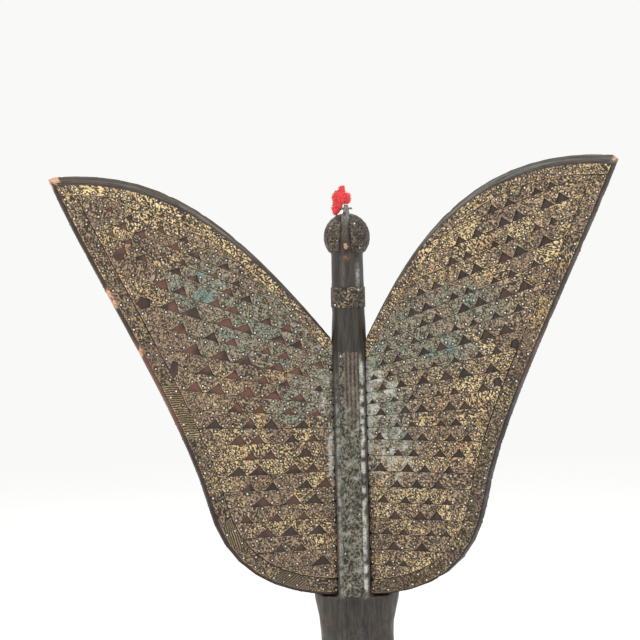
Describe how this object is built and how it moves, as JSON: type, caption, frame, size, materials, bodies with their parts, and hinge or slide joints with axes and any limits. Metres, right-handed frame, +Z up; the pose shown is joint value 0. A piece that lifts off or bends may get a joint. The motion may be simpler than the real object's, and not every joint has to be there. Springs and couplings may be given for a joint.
{
  "type": "carved wood bird figure",
  "caption": "Standing carved wood bird on a low round plinth, with two raised board wings whose backs are clad in rows of embossed, nailed sheet metal and a red cotton tuft on the crest.",
  "frame": {"origin": "centre of the plinth's flat underside", "axes": "+Z up, the bird faces -Y, its left wing is on the +X side"},
  "size_m": [0.9007, 0.2994, 1.0302],
  "materials": {
    "dark_wood": "dark brown-black, hand carved, worn satin",
    "wing_wood": "dark stained boards, bare and worn at the rims",
    "sheet_brass": "thin embossed sheet, dark patina with gold highlights and green-grey corrosion",
    "red_cotton": "matte loose cotton yarn",
    "nail_steel": "small domed nail heads, white metal, dulled"
  },
  "bodies": {
    "root": {"carved_bird": "dark_wood", "wing_board_left": "wing_wood", "wing_board_right": "wing_wood", "feather_row_left_01": "sheet_brass", "feather_row_left_02": "sheet_brass", "feather_row_left_03": "sheet_brass", "feather_row_left_04": "sheet_brass", "feather_row_left_05": "sheet_brass", "feather_row_left_06": "sheet_brass", "feather_row_left_07": "sheet_brass", "feather_row_left_08": "sheet_brass", "feather_row_left_09": "sheet_brass", "feather_row_left_10": "sheet_brass", "feather_row_left_11": "sheet_brass", "feather_row_left_12": "sheet_brass", "feather_row_left_13": "sheet_brass", "feather_row_left_14": "sheet_brass", "feather_row_left_15": "sheet_brass", "feather_row_left_16": "sheet_brass", "feather_row_left_17": "sheet_brass", "feather_row_left_18": "sheet_brass", "feather_row_left_19": "sheet_brass", "feather_row_left_20": "sheet_brass", "feather_row_left_21": "sheet_brass", "feather_row_left_22": "sheet_brass", "feather_row_left_23": "sheet_brass", "feather_row_right_01": "sheet_brass", "feather_row_right_02": "sheet_brass", "feather_row_right_03": "sheet_brass", "feather_row_right_04": "sheet_brass", "feather_row_right_05": "sheet_brass", "feather_row_right_06": "sheet_brass", "feather_row_right_07": "sheet_brass", "feather_row_right_08": "sheet_brass", "feather_row_right_09": "sheet_brass", "feather_row_right_10": "sheet_brass", "feather_row_right_11": "sheet_brass", "feather_row_right_12": "sheet_brass", "feather_row_right_13": "sheet_brass", "feather_row_right_14": "sheet_brass", "feather_row_right_15": "sheet_brass", "feather_row_right_16": "sheet_brass", "feather_row_right_17": "sheet_brass", "feather_row_right_18": "sheet_brass", "feather_row_right_19": "sheet_brass", "feather_row_right_20": "sheet_brass", "feather_row_right_21": "sheet_brass", "feather_row_right_22": "sheet_brass", "feather_row_right_23": "sheet_brass", "leading_border_left": "sheet_brass", "outer_border_left": "sheet_brass", "leading_border_right": "sheet_brass", "outer_border_right": "sheet_brass", "back_sheet": "sheet_brass", "neck_band": "sheet_brass", "cheek_plate_left": "sheet_brass", "cheek_plate_right": "sheet_brass", "cotton_tuft": "red_cotton"}
  },
  "joints": []
}
